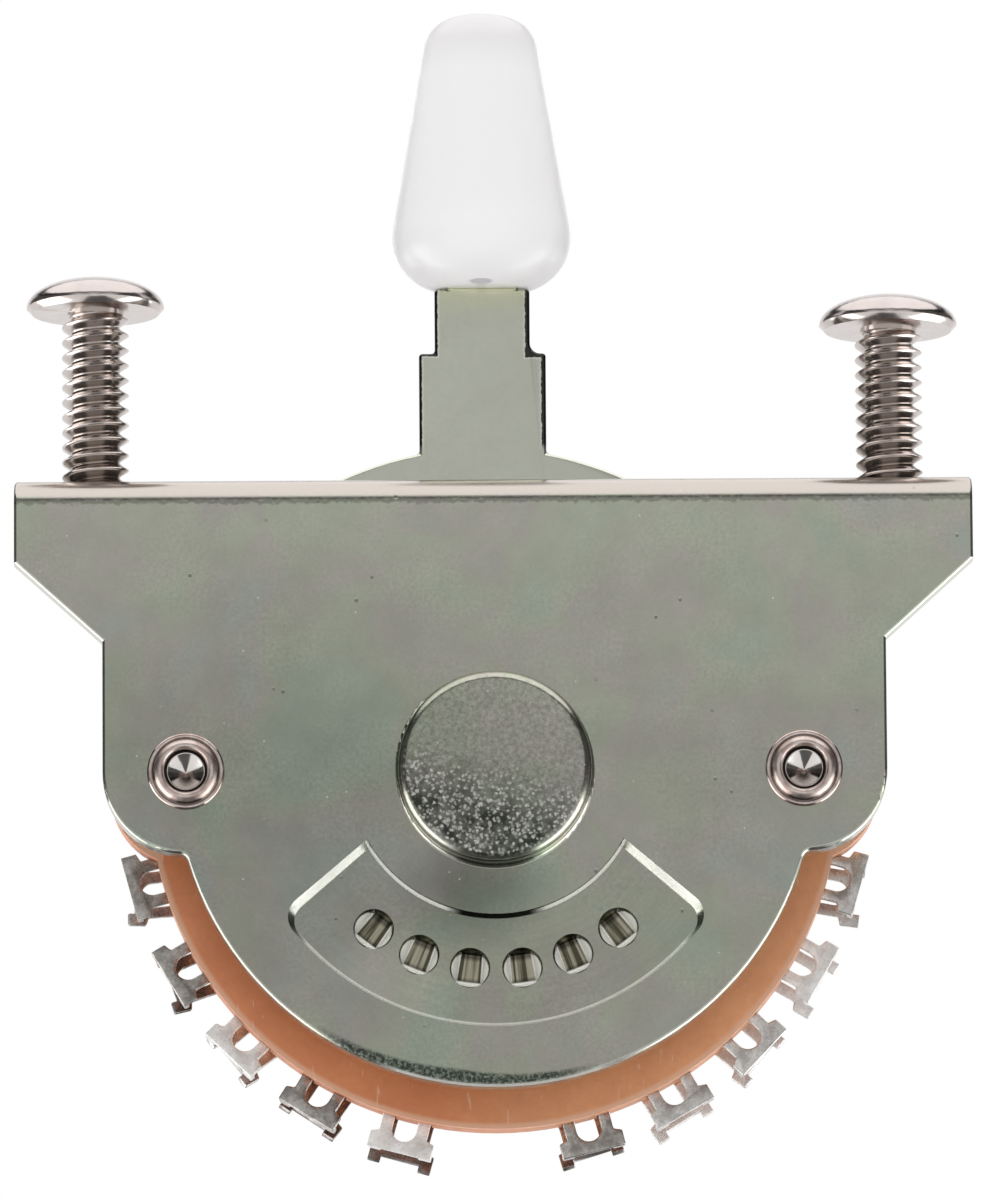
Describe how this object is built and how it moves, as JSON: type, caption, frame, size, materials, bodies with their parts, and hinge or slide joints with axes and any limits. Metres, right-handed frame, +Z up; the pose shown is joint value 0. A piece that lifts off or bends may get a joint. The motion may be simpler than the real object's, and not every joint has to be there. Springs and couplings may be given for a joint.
{
  "type": "guitar pickup selector switch",
  "caption": "Lever selector switch on a bent sheet frame: a pivoting lever with a moulded tip turns contact rotors inside stacked wafers ringed with solder lugs; screws fix the flange.",
  "frame": {"origin": "middle of the flange's top face, halfway between the two mounting screws' axes", "axes": "+X to the right seen from the front plate, +Y from the front plate back over the flange, +Z up out of the flange towards the lever's tip"},
  "size_m": [0.0496, 0.0152, 0.0604],
  "materials": {
    "zinc_sheet": "satin",
    "lever_sheet": "satin",
    "tip_plastic": "gloss",
    "nickel": "polished",
    "rivet_metal": "polished",
    "shaft_metal": "satin",
    "spring_steel": "polished",
    "rotor_plastic": "matte",
    "brown_board": "satin",
    "tube_metal": "satin",
    "lug_metal": "satin",
    "blade_metal": "satin"
  },
  "bodies": {
    "base": {"frame": "zinc_sheet", "mounting_screw_left": "nickel", "rivet_left": "rivet_metal", "mounting_screw_right": "nickel", "rivet_right": "rivet_metal", "front_wafer": "brown_board", "rear_wafer": "brown_board", "front_spacer_left": "tube_metal", "front_spacer_right": "tube_metal", "rear_spacer_left": "tube_metal", "rear_spacer_right": "tube_metal", "front_throw_lug_left_1": "lug_metal", "front_throw_lug_left_2": "lug_metal", "front_throw_lug_left_3": "lug_metal", "front_throw_lug_left_4": "lug_metal", "front_throw_lug_left_5": "lug_metal", "front_throw_lug_right_1": "lug_metal", "front_throw_lug_right_2": "lug_metal", "front_throw_lug_right_3": "lug_metal", "front_throw_lug_right_4": "lug_metal", "front_throw_lug_right_5": "lug_metal", "rear_throw_lug_left_1": "lug_metal", "rear_throw_lug_left_2": "lug_metal", "rear_throw_lug_left_3": "lug_metal", "rear_throw_lug_left_4": "lug_metal", "rear_throw_lug_left_5": "lug_metal", "rear_throw_lug_right_1": "lug_metal", "rear_throw_lug_right_2": "lug_metal", "rear_throw_lug_right_3": "lug_metal", "rear_throw_lug_right_4": "lug_metal", "rear_throw_lug_right_5": "lug_metal", "front_common_lug_left": "lug_metal", "front_common_lug_right": "lug_metal", "rear_common_lug_left": "lug_metal", "rear_common_lug_right": "lug_metal"},
    "lever_assembly": {"lever": "lever_sheet", "lever_tip": "tip_plastic", "drive_shaft": "shaft_metal", "shaft_clip": "spring_steel", "rotor_sleeve": "rotor_plastic", "detent_spring": "spring_steel", "spring_rivet": "rivet_metal", "front_rotor": "rotor_plastic", "rear_rotor": "rotor_plastic", "front_blade_left": "blade_metal", "front_blade_right": "blade_metal", "rear_blade_left": "blade_metal", "rear_blade_right": "blade_metal"}
  },
  "joints": [
    {"name": "lever_pivot", "type": "hinge", "parent": "base", "child": "lever_assembly", "pos_m": [0, 0, -0.0155], "axis": [0, 1, 0], "range_deg": [-23.5, 26], "deforming": ["detent_spring"]}
  ]
}
